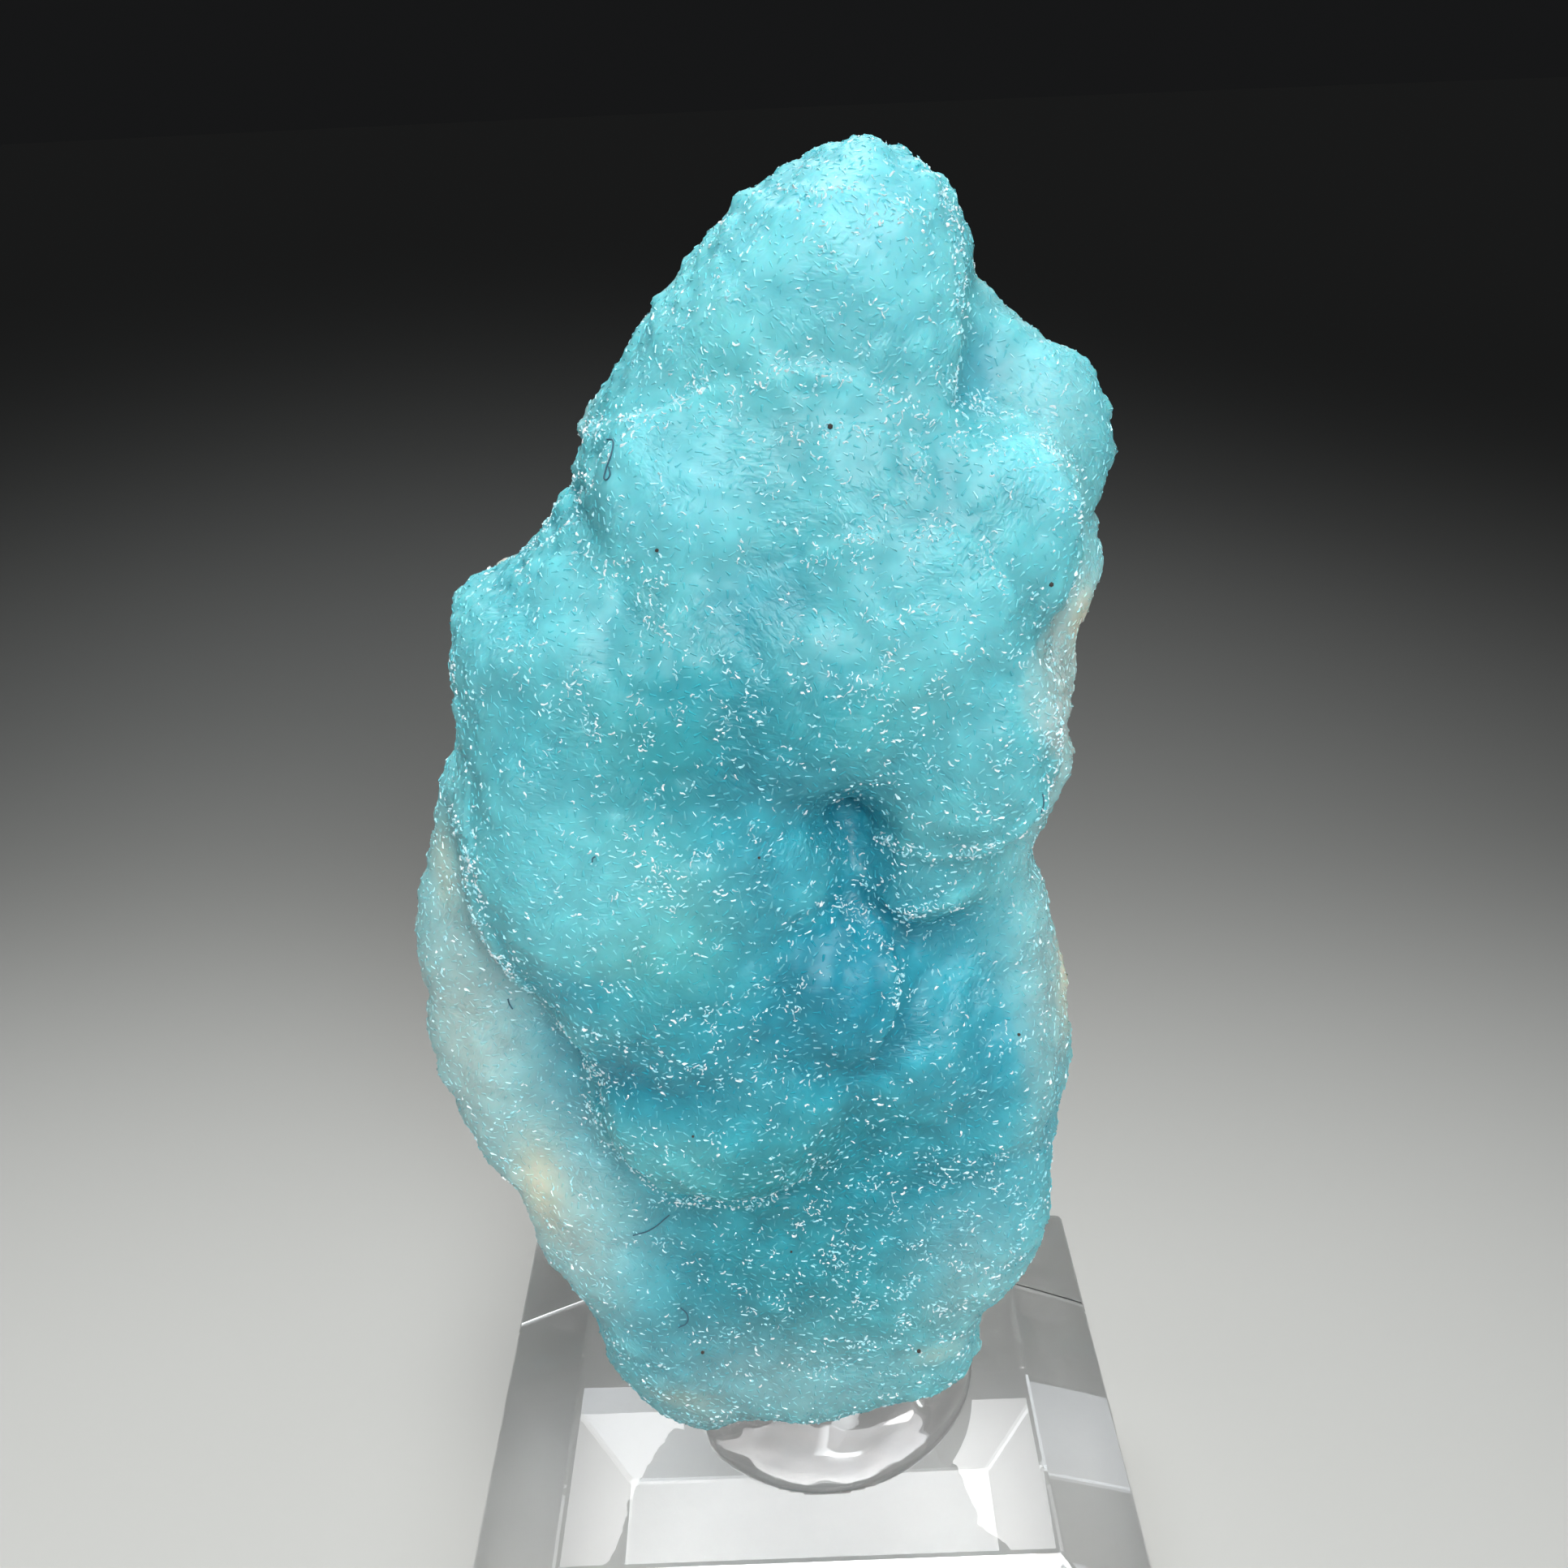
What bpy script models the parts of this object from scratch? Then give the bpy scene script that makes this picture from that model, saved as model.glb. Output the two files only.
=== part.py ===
"""Hemimorphite crust held by clear mineral tack on a clear bevelled display block.

Lengths in the tables are millimetres. The origin is the centre of the block's
underside, +Z is up and the crust's druse side looks along -Y.
"""
import math

import bmesh
import bpy
import numpy as np
from mathutils import Vector, noise

MM = 0.001

# Display block: a 1.5 inch square of clear acrylic with a bevelled top
BLOCK_SIDE = 38.0
BLOCK_HEIGHT = 21.3
BEVEL_WIDTH = 5.8
BEVEL_DROP = 5.4
BLOCK_ARRIS = 0.25

# Mineral tack: a round puck pressed flat under the crust
TACK_CENTRE = (1.4, -1.1)
TACK_RADIUS = 8.6
TACK_HEIGHT = 4.2
TACK_SECTORS = 56
SOCKET_REACH = 9.0
SOCKET_TRIANGLES = 1500
FIT_GAP = 0.3

# Crust: the plane that its outline lies in at the top, and how far its foot stands forward
OUTLINE_Y = -2.0
LEAN = 2.7
LEAN_HEIGHT = 68.0

# Edge thicknesses and roundings of the crust
EDGE_DEPTH = 0.8
SKIRT_DEPTH = 2.3
SKIRT_ROUND = 2.9
UPPER_RISE = 2.7
UPPER_ROUND = 2.0
BACK_DEPTH = 4.9
BACK_ROUND = 5.4
BACK_STEP = 1.2
FORM_VOXEL = 0.6
SKIN_VOXEL = 0.5
CRUST_TRIANGLES = 7600

# Outline seen from the front, clockwise from the peak: x, z
OUTLINE = [
    (4.8, 89.6), (5.6, 89.2), (6.1, 88.6), (7.0, 88.3), (7.9, 87.6), (8.5, 86.7),
    (8.9, 86.0), (9.2, 84.9), (9.3, 84.0), (9.2, 83.4), (9.7, 82.6), (10.6, 82.7),
    (11.1, 82.1), (11.8, 81.0), (12.8, 81.0), (13.8, 80.2), (14.6, 79.2), (15.0, 78.1),
    (15.4, 77.0), (15.5, 75.9), (14.8, 74.8), (14.4, 73.9), (15.1, 72.5), (15.0, 71.0),
    (14.8, 70.0), (13.9, 68.7), (14.0, 67.3), (13.7, 65.4), (13.5, 64.5), (13.8, 63.3),
    (14.2, 62.1), (13.5, 61.0), (13.0, 59.3), (12.3, 58.5), (11.8, 57.4), (12.7, 55.9),
    (13.2, 54.8), (13.1, 53.2), (13.6, 51.7), (13.9, 51.1), (14.1, 49.0), (14.3, 47.5),
    (14.6, 45.7), (14.3, 44.8), (13.8, 43.1), (13.7, 42.1), (13.5, 39.7), (13.6, 38.2),
    (13.4, 36.2), (12.8, 34.8), (11.8, 33.1), (11.0, 32.3), (10.2, 31.7), (9.7, 30.2),
    (9.9, 28.4), (9.5, 27.0), (8.8, 26.3), (7.5, 25.3), (5.8, 25.3), (3.0, 24.8),
    (0.2, 23.6), (-0.5, 23.4), (-1.4, 24.4), (-2.7, 24.5), (-4.3, 22.9), (-5.3, 22.4),
    (-6.5, 23.0), (-7.3, 23.1), (-8.2, 24.1), (-8.9, 25.0), (-9.5, 25.7), (-10.1, 26.6),
    (-10.7, 28.2), (-10.8, 29.9), (-11.2, 31.9), (-12.0, 33.0), (-13.3, 34.7), (-13.9, 36.3),
    (-13.9, 37.9), (-14.4, 39.1), (-15.2, 40.3), (-16.2, 42.0), (-16.7, 43.6), (-17.1, 45.0),
    (-17.4, 45.8), (-17.8, 46.8), (-17.8, 49.5), (-17.7, 51.8), (-17.7, 54.0), (-17.5, 56.3),
    (-16.9, 57.3), (-16.5, 58.8), (-16.1, 60.5), (-15.9, 61.9), (-14.7, 63.4), (-14.2, 64.1),
    (-14.2, 65.7), (-14.3, 67.7), (-14.1, 69.2), (-14.0, 70.8), (-13.3, 71.7), (-12.3, 72.0),
    (-11.1, 72.4), (-10.3, 72.9), (-9.7, 74.0), (-8.9, 74.9), (-8.3, 75.7), (-7.7, 76.4),
    (-7.5, 77.2), (-7.9, 77.6), (-7.4, 78.6), (-6.6, 79.6), (-5.8, 80.6), (-4.9, 81.8),
    (-4.2, 83.0), (-3.1, 83.8), (-2.3, 84.8), (-1.1, 86.2), (0.0, 87.3), (1.5, 88.1),
    (2.8, 88.5), (3.8, 89.0), (4.3, 89.4),
]

# Rim of the thick upper crust, where it steps down to the thin pale skirt
UPPER_RIM = [
    (4.7, 90.5), (7.7, 89.1), (9.1, 86.8), (8.8, 85.1), (8.3, 82.1), (8.1, 79.7),
    (8.6, 78.8), (10.9, 77.7), (12.6, 76.0), (13.5, 74.2), (13.6, 72.4), (12.7, 70.7),
    (11.2, 69.4), (10.9, 67.5), (12.2, 66.0), (12.6, 63.7), (11.9, 61.9), (10.7, 60.5),
    (9.0, 59.6), (9.0, 57.0), (9.2, 53.8), (10.4, 50.9), (11.3, 46.9), (10.4, 43.3),
    (7.6, 41.4), (3.3, 40.8), (-0.6, 41.5), (-5.1, 41.3), (-7.0, 42.4), (-8.5, 43.9),
    (-9.4, 45.8), (-9.1, 49.6), (-10.6, 51.8), (-12.2, 55.0), (-13.4, 58.8), (-13.3, 62.0),
    (-13.8, 66.0), (-14.8, 68.4), (-14.7, 71.2), (-12.5, 73.1), (-10.2, 74.4), (-8.0, 76.0),
    (-7.0, 79.1), (-4.8, 83.4), (0.0, 88.4),
]

# Rounded lobes of the druse: x, z, half width, half height, foot, crown
LOBES = {
    "peak": (3.4, 84.7, 5.5, 5.5, 3.0, 6.3),
    "peak foot": (2.1, 81.8, 6.4, 5.4, 4.0, 6.1),
    "left flank": (-3.7, 79.7, 4.5, 5.5, 2.4, 4.9),
    "right ear": (11.8, 78.0, 4.2, 4.7, 0.8, 2.8),
    "brow": (2.3, 74.1, 8.4, 7.3, 4.3, 7.5),
    "brow left": (-2.6, 75.5, 4.9, 4.4, 4.9, 7.5),
    "brow middle": (3.5, 75.6, 3.8, 3.1, 6.1, 7.8),
    "brow right": (8.9, 73.9, 4.6, 4.6, 4.7, 7.6),
    "cheek": (6.0, 71.1, 4.7, 4.8, 6.4, 8.8),
    "nose": (2.5, 68.2, 4.6, 5.1, 6.6, 9.2),
    "left shoulder": (-9.6, 69.9, 4.6, 5.8, 3.8, 7.0),
    "left side": (-10.3, 64.1, 4.5, 6.9, 4.3, 7.0),
    "left hip": (-9.1, 59.1, 4.9, 6.3, 4.3, 7.5),
    "breast": (-4.1, 67.1, 7.1, 7.6, 6.1, 8.7),
    "belly": (-6.2, 61.0, 7.0, 7.5, 6.1, 9.0),
    "waist": (-4.5, 54.2, 6.2, 6.6, 5.4, 8.5),
    "bead": (0.0, 60.3, 2.9, 3.2, 5.6, 7.8),
    "right breast": (8.0, 65.6, 4.8, 5.5, 5.6, 8.4),
    "droplet": (6.3, 58.7, 3.3, 2.4, 4.3, 6.7),
    "navel": (2.6, 53.3, 3.7, 4.1, 4.7, 7.7),
    "low right": (6.1, 49.3, 3.4, 3.6, 4.9, 6.6),
    "right lap": (8.4, 47.0, 5.1, 5.8, 3.8, 5.6),
    "right wall": (10.2, 54.3, 3.9, 7.4, 2.3, 4.2),
    "lap": (-3.0, 47.6, 6.2, 5.8, 4.7, 8.0),
    "foot": (3.8, 38.2, 11.0, 10.5, 2.6, 5.1),
    "foot left": (-5.5, 33.8, 6.6, 7.9, 1.9, 4.3),
    "toe": (1.1, 29.3, 9.6, 6.1, 2.3, 4.3),
    "knob": (-10.6, 39.5, 1.6, 1.7, 2.4, 3.9),
    "knob step": (-8.1, 40.6, 2.9, 2.5, 2.4, 4.0),
    "left fold": (-14.2, 47.0, 2.5, 4.4, 1.7, 3.0),
    "left sheet": (-13.2, 54.8, 3.2, 5.3, 1.9, 3.0),
}

# Hollows between the lobes: x, z, half width, half height, depth
HOLLOWS = [
    (3.0, 62.1, 1.8, 2.6, 2.3), (4.0, 57.7, 1.4, 3.4, 1.9), (6.9, 55.8, 3.1, 1.4, 1.2),
    (-6.0, 72.7, 2.3, 2.1, 1.7), (-7.3, 50.1, 2.2, 2.4, 1.2), (5.0, 52.1, 1.1, 2.6, 0.9),
    (9.1, 80.5, 2.2, 2.6, 0.7), (-3.0, 80.2, 1.6, 2.9, 0.5),
]

# Broad rises and hollows of the broken back: x, z, half width, half height, depth
BACK_LUMPS = [
    (2.6, 81.5, 6.2, 6.1, 1.1), (8.1, 70.9, 6.3, 5.5, 1.3), (-6.4, 67.2, 7.3, 7.4, 1.5),
    (3.7, 57.8, 7.4, 7.7, -1.4), (-8.5, 52.9, 7.5, 7.9, 1.0), (5.7, 44.9, 7.6, 7.1, 1.2),
    (-3.9, 39.7, 6.8, 6.3, -1.1), (1.9, 31.2, 8.9, 6.5, 0.9),
]


def new_material(name, colour, roughness, alpha=1.0):
    material = bpy.data.materials.new(name)
    material.use_nodes = True
    shader = material.node_tree.nodes["Principled BSDF"]
    shader.inputs["Base Color"].default_value = (*colour, 1.0)
    shader.inputs["Roughness"].default_value = roughness
    shader.inputs["Alpha"].default_value = alpha
    return material


def new_object(name, mesh, material):
    obj = bpy.data.objects.new(name, mesh)
    bpy.context.collection.objects.link(obj)
    mesh.materials.append(material)
    return obj


def apply_modifiers(obj):
    bpy.ops.object.select_all(action="DESELECT")
    obj.select_set(True)
    bpy.context.view_layer.objects.active = obj
    for modifier in list(obj.modifiers):
        bpy.ops.object.modifier_apply(modifier=modifier.name)


def shade_smooth(obj, degrees):
    for polygon in obj.data.polygons:
        polygon.use_smooth = True
    obj.data.set_sharp_from_angle(angle=math.radians(degrees))


def remesh(obj, voxel, smoothing):
    modifier = obj.modifiers.new("remesh", "REMESH")
    modifier.mode = "VOXEL"
    modifier.voxel_size = voxel * MM
    if smoothing:
        soften = obj.modifiers.new("soften", "SMOOTH")
        soften.factor = 0.5
        soften.iterations = smoothing
    apply_modifiers(obj)


def thin_out(obj, triangles):
    """Collapse edges until about this many triangles are left."""
    count = sum(len(polygon.vertices) - 2 for polygon in obj.data.polygons)
    modifier = obj.modifiers.new("thin out", "DECIMATE")
    modifier.ratio = min(1.0, triangles / count)
    apply_modifiers(obj)


def push_out(obj, amount):
    """Move every vertex along its normal by amount(place), all in millimetres."""
    normals = [vertex.normal.copy() for vertex in obj.data.vertices]
    for vertex, normal in zip(obj.data.vertices, normals):
        vertex.co += normal * amount(vertex.co / MM) * MM


def inside_distance(points, loop):
    """Distance from each point to a closed loop, negative outside it."""
    start = np.array(loop)
    end = np.roll(start, -1, axis=0)
    side = end - start
    nearest = np.full(len(points), 1e9)
    inside = np.zeros(len(points), dtype=bool)
    for a, b, s in zip(start, end, side):
        along = np.clip(((points - a) @ s) / (s @ s), 0.0, 1.0)
        gap = np.linalg.norm(points - a - along[:, None] * s, axis=1)
        nearest = np.minimum(nearest, gap)
        crosses = (a[1] > points[:, 1]) != (b[1] > points[:, 1])
        if abs(s[1]) > 1e-9:
            at = a[0] + (points[:, 1] - a[1]) * s[0] / s[1]
            inside ^= crosses & (points[:, 0] < at)
    return np.where(inside, nearest, -nearest)


def rounded(distance, radius):
    """Quarter round that climbs from 0 at the edge to 1 at the given radius."""
    reach = np.clip(distance / radius, 0.0, 1.0)
    return np.sqrt(1.0 - (1.0 - reach) ** 2)


def away_from(points, x, z, wide, high):
    """Squared distance from a centre, 1 on the ellipse of the given half sizes."""
    return ((points[:, 0] - x) / wide) ** 2 + ((points[:, 1] - z) / high) ** 2


def front_depth(points):
    """How far the druse stands in front of the outline plane."""
    edge = inside_distance(points, OUTLINE)
    step = inside_distance(points, UPPER_RIM)
    depth = SKIRT_DEPTH + UPPER_RISE * rounded(step, UPPER_ROUND)
    for x, z, wide, high, foot, crown in LOBES.values():
        away = away_from(points, x, z, wide, high)
        cap = foot + (crown - foot) * np.sqrt(np.clip(1.0 - away, 0.0, 1.0))
        depth = np.where(away < 1.0, np.maximum(depth, cap), depth)
    for x, z, wide, high, fall in HOLLOWS:
        depth = depth - fall * np.exp(-1.5 * away_from(points, x, z, wide, high))
    return EDGE_DEPTH + (depth - EDGE_DEPTH) * rounded(edge, SKIRT_ROUND)


def back_depth(points):
    """How far the broken back stands behind the outline plane."""
    edge = inside_distance(points, OUTLINE)
    depth = np.full(len(points), BACK_DEPTH)
    for x, z, wide, high, rise in BACK_LUMPS:
        depth = depth + rise * np.exp(-2.0 * away_from(points, x, z, wide, high))
    return EDGE_DEPTH + (depth - EDGE_DEPTH) * rounded(edge, BACK_ROUND)


def outline_slab():
    """A 2 mm thick plate of the outline, centred on its plane."""
    mesh = bpy.data.meshes.new("hemimorphite")
    form = bmesh.new()
    front = [form.verts.new((x * MM, -MM, z * MM)) for x, z in OUTLINE]
    back = [form.verts.new((x * MM, MM, z * MM)) for x, z in OUTLINE]
    form.faces.new(front)
    form.faces.new(list(reversed(back)))
    for i in range(len(OUTLINE)):
        j = (i + 1) % len(OUTLINE)
        form.faces.new((front[j], front[i], back[i], back[j]))
    bmesh.ops.recalc_face_normals(form, faces=form.faces)
    bmesh.ops.triangulate(form, faces=form.faces)
    form.to_mesh(mesh)
    form.free()
    return mesh


def crust_ripple(spot):
    """Uneven growth all over, with coarse broken steps on the back."""
    ripple = 0.1 + 0.22 * noise.noise(spot * 0.42) + 0.18 * noise.noise(spot * 0.9)
    behind = min(1.0, max(0.0, (spot.y - OUTLINE_Y - 0.5) / 2.0))
    steps = round(4.0 * noise.noise(spot * 0.17 + Vector((7.0, 3.0, 5.0)))) / 4.0
    return ripple + behind * (BACK_STEP * steps + 0.35 * noise.noise(spot * 0.5))


def lean_back(obj):
    """Bring the foot forward, so that the crust leans back a little."""
    for vertex in obj.data.vertices:
        below = 1.0 - (vertex.co.z / MM - BLOCK_HEIGHT) / LEAN_HEIGHT
        vertex.co.y -= LEAN * below * MM


def build_crust():
    material = new_material("hemimorphite", (0.25, 0.66, 0.72), 0.35)
    crust = new_object("hemimorphite", outline_slab(), material)
    remesh(crust, FORM_VOXEL, 0)

    # Swell the plate: its front face takes the lobes, its back face the broken relief
    place = np.array([vertex.co[:] for vertex in crust.data.vertices]) / MM
    flat = place[:, [0, 2]]
    side = np.clip(place[:, 1], -1.0, 1.0)
    depth = np.where(side < 0.0, front_depth(flat), back_depth(flat))
    for vertex, amount, (x, z) in zip(crust.data.vertices, side * depth, flat):
        vertex.co = Vector((x, OUTLINE_Y + amount, z)) * MM

    remesh(crust, SKIN_VOXEL, 5)
    push_out(crust, crust_ripple)
    remesh(crust, SKIN_VOXEL, 2)
    lean_back(crust)
    thin_out(crust, CRUST_TRIANGLES)
    shade_smooth(crust, 50)
    return crust


def build_block():
    half = BLOCK_SIDE / 2
    top = half - BEVEL_WIDTH
    shoulder = BLOCK_HEIGHT - BEVEL_DROP
    mesh = bpy.data.meshes.new("acrylic_base")
    form = bmesh.new()
    rings = []
    for reach, height in ((half, 0.0), (half, shoulder), (top, BLOCK_HEIGHT)):
        corners = ((-reach, -reach), (reach, -reach), (reach, reach), (-reach, reach))
        rings.append([form.verts.new((x * MM, y * MM, height * MM)) for x, y in corners])
    form.faces.new(list(reversed(rings[0])))
    form.faces.new(rings[-1])
    for low, high in zip(rings, rings[1:]):
        for i in range(4):
            j = (i + 1) % 4
            form.faces.new((low[i], low[j], high[j], high[i]))
    form.to_mesh(mesh)
    form.free()
    block = new_object("acrylic_base", mesh,
                       new_material("clear_acrylic", (0.93, 0.95, 0.97), 0.03, 0.35))
    arris = block.modifiers.new("arris", "BEVEL")
    arris.width = BLOCK_ARRIS * MM
    arris.segments = 2
    apply_modifiers(block)
    shade_smooth(block, 30)
    return block


def tack_ring(form, radius, height):
    """One level of the puck: a slightly uneven circle, or its single end point."""
    ring = []
    for i in range(TACK_SECTORS if radius > 0.0 else 1):
        turn = 2 * math.pi * i / TACK_SECTORS
        reach = radius * (1.0 + 0.018 * math.sin(2 * turn + 0.6) + 0.012 * math.sin(3 * turn))
        x = TACK_CENTRE[0] + reach * math.cos(turn)
        y = TACK_CENTRE[1] + reach * math.sin(turn)
        ring.append(form.verts.new((x * MM, y * MM, height * MM)))
    return ring


def socket_cutter(crust):
    """The crust's lower end, grown by the gap."""
    mesh = crust.data.copy()
    form = bmesh.new()
    form.from_mesh(mesh)
    everything = form.verts[:] + form.edges[:] + form.faces[:]
    cut = bmesh.ops.bisect_plane(form, geom=everything, plane_no=(0, 0, 1), clear_outer=True,
                                 plane_co=(0, 0, (BLOCK_HEIGHT + SOCKET_REACH) * MM))
    rim = [item for item in cut["geom_cut"] if isinstance(item, bmesh.types.BMEdge)]
    bmesh.ops.holes_fill(form, edges=rim)
    bmesh.ops.triangulate(form, faces=form.faces)
    form.to_mesh(mesh)
    form.free()
    cutter = bpy.data.objects.new("socket_cutter", mesh)
    bpy.context.collection.objects.link(cutter)
    remesh(cutter, SKIN_VOXEL, 2)
    push_out(cutter, lambda spot: FIT_GAP + 0.08)
    remesh(cutter, SKIN_VOXEL, 1)
    thin_out(cutter, SOCKET_TRIANGLES)
    cutter.hide_render = True
    cutter.display_type = "WIRE"
    return cutter


def build_tack(crust):
    """A domed puck, cut away where the crust stands in it."""
    low = BLOCK_HEIGHT + FIT_GAP
    top = BLOCK_HEIGHT + TACK_HEIGHT
    profile = [(0.0, low), (TACK_RADIUS - 0.7, low), (TACK_RADIUS - 0.2, low + 0.3),
               (TACK_RADIUS, low + 0.9), (TACK_RADIUS - 0.1, low + 1.6),
               (TACK_RADIUS - 0.6, low + 2.5), (TACK_RADIUS - 1.4, low + 3.1),
               (TACK_RADIUS - 2.6, low + 3.6), (TACK_RADIUS - 4.5, top - 0.1), (0.0, top)]
    mesh = bpy.data.meshes.new("mineral_tack")
    form = bmesh.new()
    rings = [tack_ring(form, radius, height) for radius, height in profile]
    for lower, upper in zip(rings, rings[1:]):
        for i in range(TACK_SECTORS):
            j = (i + 1) % TACK_SECTORS
            corners = [lower[i % len(lower)], lower[j % len(lower)],
                       upper[j % len(upper)], upper[i % len(upper)]]
            form.faces.new(list(dict.fromkeys(corners)))
    bmesh.ops.recalc_face_normals(form, faces=form.faces)
    form.to_mesh(mesh)
    form.free()
    tack = new_object("mineral_tack", mesh,
                      new_material("clear_tack", (0.90, 0.84, 0.86), 0.12, 0.45))

    cutter = socket_cutter(crust)
    socket = tack.modifiers.new("socket", "BOOLEAN")
    socket.operation = "DIFFERENCE"
    socket.solver = "EXACT"
    socket.object = cutter
    apply_modifiers(tack)
    bpy.data.objects.remove(cutter)
    shade_smooth(tack, 40)
    return tack


for old in list(bpy.data.objects):
    bpy.data.objects.remove(old)

hemimorphite = build_crust()
acrylic_base = build_block()
mineral_tack = build_tack(hemimorphite)
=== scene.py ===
"""Looks of a hemimorphite crust that stands in clear tack on a clear bevelled block.

The origin is the centre of the block's underside, +Z is up and the druse looks
along -Y. Lengths are in millimetres, and MM turns them into metres. Only the floor
and the lamps are given in metres.
"""

import math

import bmesh
import bpy
import numpy as np
from mathutils import Matrix, Vector


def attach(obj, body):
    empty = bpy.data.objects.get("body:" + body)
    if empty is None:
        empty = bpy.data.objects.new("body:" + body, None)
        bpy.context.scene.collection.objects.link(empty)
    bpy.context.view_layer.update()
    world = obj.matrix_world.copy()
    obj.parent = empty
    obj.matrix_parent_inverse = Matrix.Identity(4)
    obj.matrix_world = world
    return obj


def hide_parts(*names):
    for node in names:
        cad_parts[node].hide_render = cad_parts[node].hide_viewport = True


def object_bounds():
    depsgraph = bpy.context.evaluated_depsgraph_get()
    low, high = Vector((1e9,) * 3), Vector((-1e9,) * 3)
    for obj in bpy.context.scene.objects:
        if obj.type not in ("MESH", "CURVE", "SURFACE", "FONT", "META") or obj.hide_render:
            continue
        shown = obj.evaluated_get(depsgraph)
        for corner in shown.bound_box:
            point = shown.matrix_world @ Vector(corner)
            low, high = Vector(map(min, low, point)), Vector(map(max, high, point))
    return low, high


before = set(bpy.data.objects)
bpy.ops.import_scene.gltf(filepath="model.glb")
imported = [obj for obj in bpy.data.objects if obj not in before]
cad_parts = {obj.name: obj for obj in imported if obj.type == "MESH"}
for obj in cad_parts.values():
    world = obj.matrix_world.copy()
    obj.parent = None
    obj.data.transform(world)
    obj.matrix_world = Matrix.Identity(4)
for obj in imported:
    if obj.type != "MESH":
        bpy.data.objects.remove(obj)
cad_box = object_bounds()

MM = 0.001

# Camera, at the photograph's place
CAMERA_LENS = 35.35
CAMERA_PLACE = (0.95, -69.23, 91.40)
CAMERA_PITCH = 24.55
CAMERA_YAW = 0.42
CAMERA_ROLL = -2.49

# Place and lean of the plane that holds the crust's outline
OUTLINE_Y = -2.0
LEAN = 2.7
LEAN_HEIGHT = 68.0

# Crust surface: its mesh, the calming of the front's big facets, and its growth steps
MERGE_GAP = 0.002
CRUST_VOXEL = 0.24
CRUST_ROUNDS = 12
CALM_ROUNDS = 160
CALM_SHARE = 0.5
GROWTH_STEP = 0.30
GROWTH_FADE_INNER = 1.4
GROWTH_FADE_OUTER = 0.22
BOX_MARGIN = 0.01

# Depths behind the outline's plane over which the broken back's relief and colour set in
BACK_RELIEF = (0.6, 2.6)
BACK_COLOUR = (0.2, 2.4)

# Measures of the crust: smoothing rounds for small and wide hollows, and its thickness
SMALL_HOLLOW_ROUNDS = 60
WIDE_HOLLOW_ROUNDS = 320
THICKNESS_CELL = 0.6
FULL_THICKNESS = 14.0

# Levels of the blue_shade_and_light value and of the share of tip crystals, whose white ones are
# painted glints, away from every zone
BLUE_LEVEL = 0.46
BRIGHT_LEVEL = 0.22

HEMIMORPHITE_IOR = 1.62

# Reliefs of the crust: name, kind, size, settings, height, the part that it covers
RELIEFS = [
    ("small_lumps", "VORONOI", 1.5, {}, -0.22, "front"),
    ("grain", "CLOUDS", 0.7, {"noise_depth": 1}, 0.16, "front"),
    ("scallops", "VORONOI", 1.0, {}, -0.42, "rim"),
    ("broken_back", "CLOUDS", 3.4, {"noise_type": "HARD_NOISE", "noise_depth": 3}, 1.1, "back"),
    ("back_grain", "VORONOI", 1.2, {}, 0.35, "back"),
]

# Crystals: the ridge's share of the foot's length and width, then length, width and
# height, the bend of a tip, and the spacing
RIDGE_LENGTH = 0.7
RIDGE_WIDTH = 0.25
GRAIN_SIZE = (0.34, 0.12, 0.055)
GRAIN_SPACING = 0.32
TIP_SIZE = (0.27, 0.075, 0.11)
TIP_BEND = 0.35
TIP_SPACING = 0.15

# Rings and loose patches in which the tip crystals, with their painted glints, stand
RING_SIZE = 2.4
PATCH_SIZE = 1.3

# Tack: the height of the block's top, how far it sinks into the block, which of its
# points are pressed into the crust and how deep, and its mesh
TACK_SEAT = 21.3
TACK_OVERLAP = 0.05
TACK_REACH = 0.9
TACK_SINK = 0.5
TACK_VOXEL = 0.2
TACK_ROUNDS = 14

# Dust on the druse
DUST_LIFT = 0.03
FIBRE_RADIUS = 0.035

# Floor and lamps in metres, with the lamps' power in watts and spread in degrees
FLOOR_RADIUS = 6.0
FLOOR_DROP = 0.00005
LAMPS = {
    # name: place, aim, size, power, spread, colour
    "broad_panel": ((0.0, -0.05, 0.30), (0.0, -0.04, 0.0), (0.42, 0.42),
                    0.033, 92.0, (1.0, 1.0, 1.0)),
    "rear_top_panel": ((-0.065, 0.06, 0.284), (0.01, -0.073, 0.0), (0.353, 0.237),
                       0.072, 28.0, (0.96, 1.0, 1.05)),
    "rear_panel": ((0.0, 0.16, 0.28), (0.0, -0.05, 0.0), (0.30, 0.12),
                   0.039, 30.0, (1.0, 1.0, 1.0)),
    "near_top_panel": ((0.0, -0.172, 0.282), (-0.026, -0.042, 0.0), (0.208, 0.208),
                       0.055, 26.7, (1.02, 1.0, 0.97)),
    "high_front_panel": ((0.049, -0.281, 0.235), (0.0, -0.027, 0.072), (0.202, 0.09),
                         0.058, 44.5, (0.96, 1.0, 1.02)),
    "low_front_panel": ((0.059, -0.297, 0.194), (0.0, -0.026, 0.049), (0.271, 0.217),
                        0.029, 31.5, (0.96, 1.0, 1.02)),
    "right_panel": ((0.34, -0.10, 0.24), (0.0, 0.0, 0.0), (0.20, 0.20),
                    0.012, 40.0, (1.0, 1.0, 1.0)),
    "left_panel": ((-0.34, -0.08, 0.24), (0.0, 0.0, 0.0), (0.20, 0.20),
                   0.014, 40.0, (1.0, 1.0, 1.0)),
    "back_panel": ((0.05, 0.34, 0.16), (0.0, 0.0, 0.055), (0.20, 0.15),
                   0.008, 40.0, (1.0, 1.0, 1.0)),
}

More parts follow.
